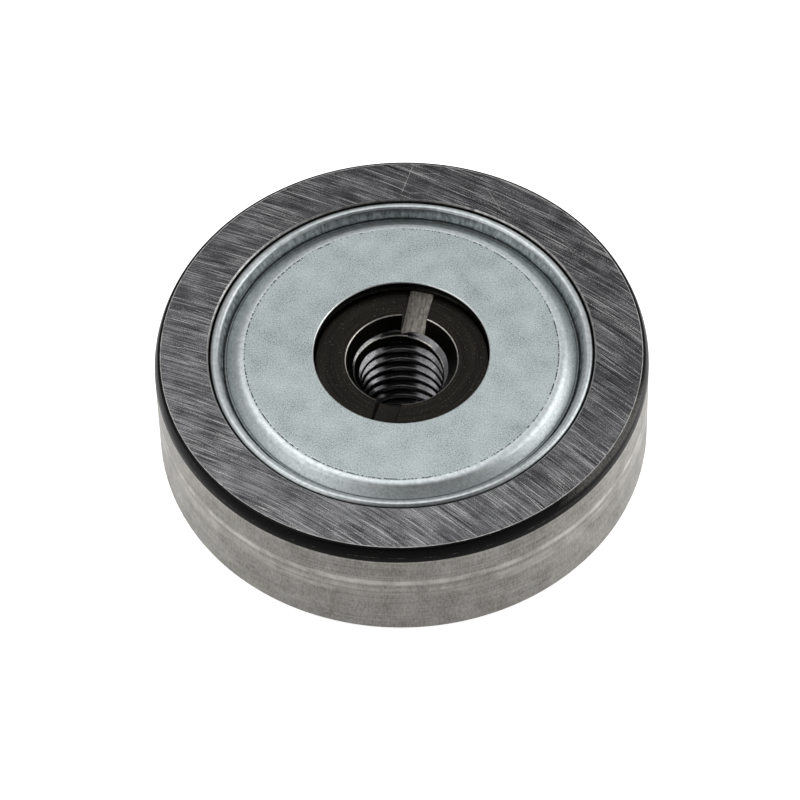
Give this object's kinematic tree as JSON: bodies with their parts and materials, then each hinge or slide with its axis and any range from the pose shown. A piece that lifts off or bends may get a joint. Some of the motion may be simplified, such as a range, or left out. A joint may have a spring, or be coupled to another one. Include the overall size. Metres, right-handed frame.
{
  "type": "stud cam follower",
  "caption": "Ball-bearing track roller on a black stud: steel ring with a pressed cover and a lip seal, slotted stud with a tapped hole and a locating spigot.",
  "frame": {"origin": "on the roller's axis, in the plane of the stud collar's seat face", "axes": "+Z along the axis from the stud's spigot towards the front cover; the screwdriver slot runs along Y"},
  "size_m": [0.04, 0.04, 0.0177],
  "materials": {
    "ring_steel": "ground",
    "zinc_sheet": "zinc plated",
    "black_steel": "black oxide",
    "seal_rubber": "moulded",
    "cage_steel": "pressed",
    "rivet_steel": "headed",
    "ball_steel": "lapped"
  },
  "bodies": {
    "stud": {"stud": "black_steel", "inner_ring": "ring_steel"},
    "roller": {"outer_ring": "ring_steel", "front_cover": "zinc_sheet", "seal_washer": "zinc_sheet", "seal_lip": "seal_rubber"},
    "cage": {"cage_front": "cage_steel", "cage_rear": "cage_steel", "cage_rivets": "rivet_steel"},
    "ball_1": {"ball_1": "ball_steel"},
    "ball_2": {"ball_2": "ball_steel"},
    "ball_3": {"ball_3": "ball_steel"},
    "ball_4": {"ball_4": "ball_steel"},
    "ball_5": {"ball_5": "ball_steel"},
    "ball_6": {"ball_6": "ball_steel"},
    "ball_7": {"ball_7": "ball_steel"},
    "ball_8": {"ball_8": "ball_steel"}
  },
  "joints": [
    {"name": "roller_spin", "type": "hinge", "parent": "stud", "child": "roller", "pos_m": [0, 0, 0.00625], "axis": [0, 0, 1], "continuous": true},
    {"name": "cage_orbit", "type": "hinge", "parent": "stud", "child": "cage", "pos_m": [0, 0, 0.00625], "axis": [0, 0, 1], "continuous": true},
    {"name": "ball_1_spin", "type": "hinge", "parent": "cage", "child": "ball_1", "pos_m": [0.0125, 0, 0.00625], "axis": [0, 0, 1], "continuous": true},
    {"name": "ball_2_spin", "type": "hinge", "parent": "cage", "child": "ball_2", "pos_m": [0.00884, 0.00884, 0.00625], "axis": [0, 0, 1], "continuous": true},
    {"name": "ball_3_spin", "type": "hinge", "parent": "cage", "child": "ball_3", "pos_m": [0, 0.0125, 0.00625], "axis": [0, 0, 1], "continuous": true},
    {"name": "ball_4_spin", "type": "hinge", "parent": "cage", "child": "ball_4", "pos_m": [-0.00884, 0.00884, 0.00625], "axis": [0, 0, 1], "continuous": true},
    {"name": "ball_5_spin", "type": "hinge", "parent": "cage", "child": "ball_5", "pos_m": [-0.0125, 0, 0.00625], "axis": [0, 0, 1], "continuous": true},
    {"name": "ball_6_spin", "type": "hinge", "parent": "cage", "child": "ball_6", "pos_m": [-0.00884, -0.00884, 0.00625], "axis": [0, 0, 1], "continuous": true},
    {"name": "ball_7_spin", "type": "hinge", "parent": "cage", "child": "ball_7", "pos_m": [0, -0.0125, 0.00625], "axis": [0, 0, 1], "continuous": true},
    {"name": "ball_8_spin", "type": "hinge", "parent": "cage", "child": "ball_8", "pos_m": [0.00884, -0.00884, 0.00625], "axis": [0, 0, 1], "continuous": true}
  ],
  "couplings": [
    {"joint": "cage_orbit", "follows": "roller_spin", "ratio": 0.619},
    {"joint": "ball_1_spin", "follows": "roller_spin", "ratio": 1.9818},
    {"joint": "ball_2_spin", "follows": "roller_spin", "ratio": 1.9818},
    {"joint": "ball_3_spin", "follows": "roller_spin", "ratio": 1.9818},
    {"joint": "ball_4_spin", "follows": "roller_spin", "ratio": 1.9818},
    {"joint": "ball_5_spin", "follows": "roller_spin", "ratio": 1.9818},
    {"joint": "ball_6_spin", "follows": "roller_spin", "ratio": 1.9818},
    {"joint": "ball_7_spin", "follows": "roller_spin", "ratio": 1.9818},
    {"joint": "ball_8_spin", "follows": "roller_spin", "ratio": 1.9818}
  ]
}
